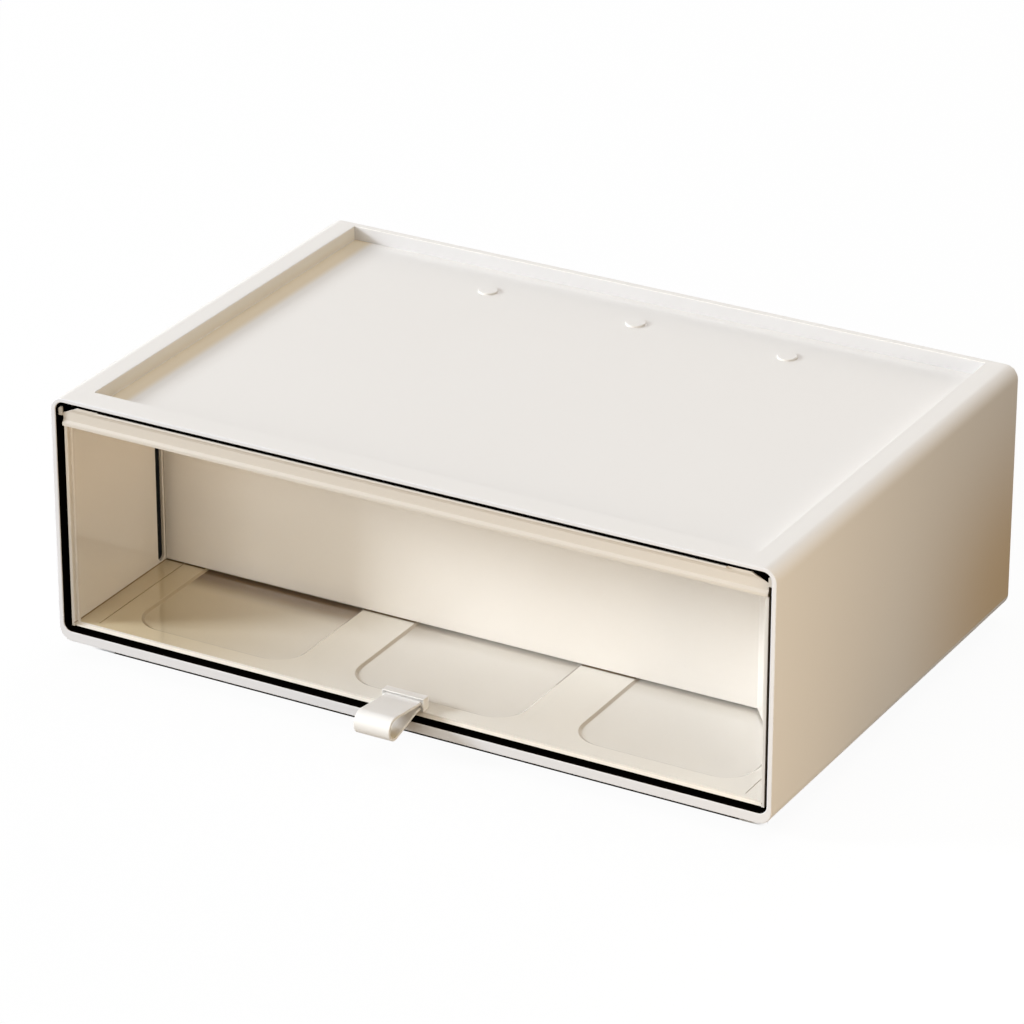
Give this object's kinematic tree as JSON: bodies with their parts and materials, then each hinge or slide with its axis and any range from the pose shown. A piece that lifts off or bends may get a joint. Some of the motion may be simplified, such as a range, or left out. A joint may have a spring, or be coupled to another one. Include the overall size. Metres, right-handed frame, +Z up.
{
  "type": "stackable drawer box",
  "caption": "Stackable drawer box: moulded sleeve with a sunk top and stepped base, hanging pull-out tray with clear front, divider and strap tab.",
  "frame": {"origin": "middle of the whole footprint, pull tab included, on the surface that the box stands on", "axes": "+X to the right along the width, -Y out of the open front, +Z up"},
  "size_m": [0.36, 0.262, 0.1275],
  "materials": {
    "case_plastic": "fine satin moulded plastic, warm off-white",
    "runner_plastic": "plain moulded plastic, off-white",
    "bumper_plastic": "satin moulded plastic, warm off-white",
    "foot_rubber": "matt dark rubber",
    "tray_plastic": "semi-gloss moulded plastic, warm ivory",
    "clear_plastic": "clear sheet, glossy",
    "rail_plastic": "semi-gloss moulded plastic, warm ivory",
    "strap_plastic": "soft flexible plastic strap, off-white"
  },
  "bodies": {
    "case": {"case_shell": "case_plastic", "back_panel": "case_plastic", "runner_left": "runner_plastic", "runner_right": "runner_plastic", "stack_bumpers": "bumper_plastic", "foot_front_left": "foot_rubber", "foot_front_right": "foot_rubber", "foot_rear_left": "foot_rubber", "foot_rear_right": "foot_rubber"},
    "drawer": {"drawer_tray": "tray_plastic", "front_window": "clear_plastic", "front_rail": "rail_plastic", "divider": "tray_plastic", "tab_clip": "rail_plastic", "pull_tab": "strap_plastic"}
  },
  "joints": [
    {"name": "drawer_slide", "type": "slide", "parent": "case", "child": "drawer", "axis": [0, -1, 0], "range_m": [0, 0.17]}
  ]
}
